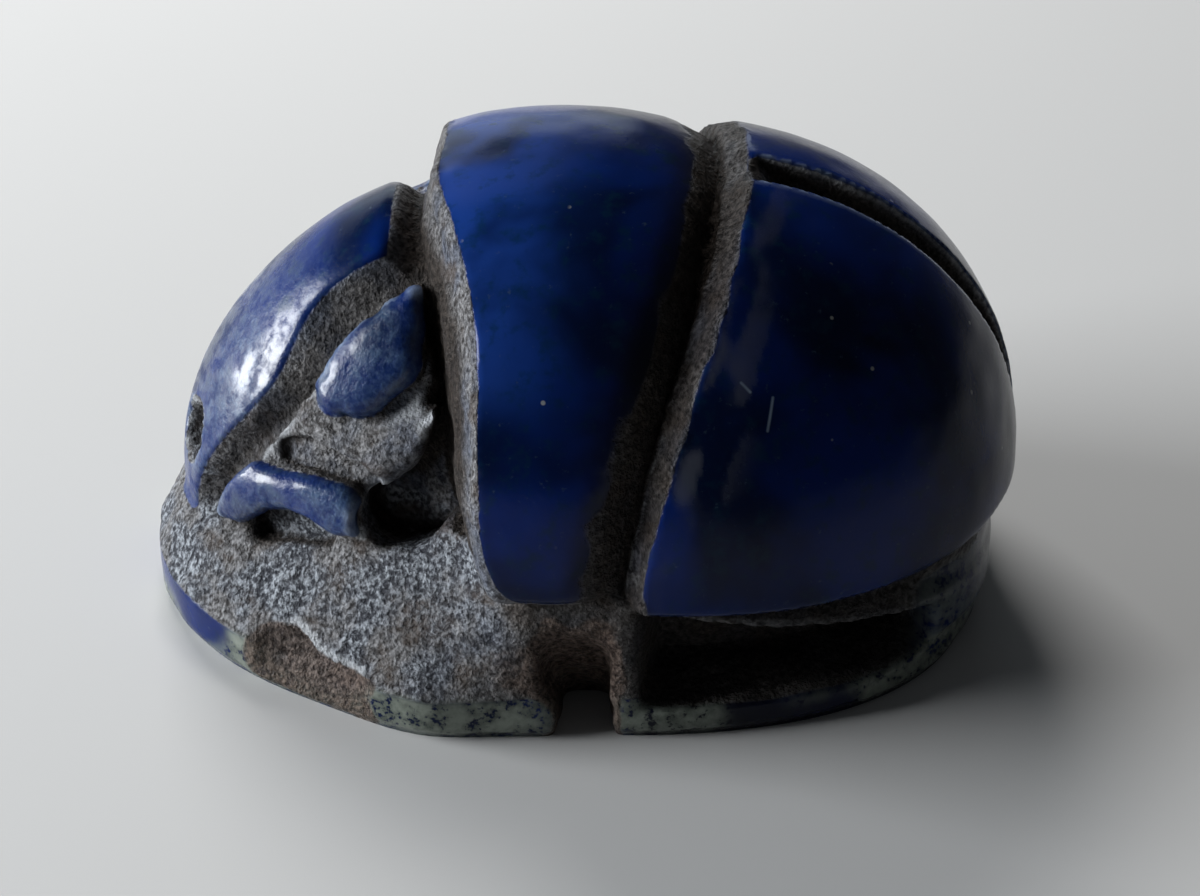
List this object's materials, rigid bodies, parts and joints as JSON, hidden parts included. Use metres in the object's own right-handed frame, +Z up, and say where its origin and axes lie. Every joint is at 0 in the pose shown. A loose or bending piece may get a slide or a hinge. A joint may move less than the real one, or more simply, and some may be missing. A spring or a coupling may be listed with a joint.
{
  "type": "scarab amulet",
  "caption": "Small carved stone scarab beetle with a flat underside, deep carved grooves and a cord hole drilled from head to tail.",
  "frame": {"origin": "middle of the underside, at the centre of the object's box and on the surface it lies on", "axes": "+X from head to tail, along the cord hole; +Y to the beetle's far side; +Z up through its back"},
  "size_m": [0.0178, 0.0124, 0.01],
  "materials": {
    "lapis": "deep blue lapis lazuli, polished on the domes, ground rough and grey-brown in the hollows, with a pale calcite vein along the base rim"
  },
  "bodies": {
    "root": {"scarab": "lapis"}
  },
  "joints": []
}
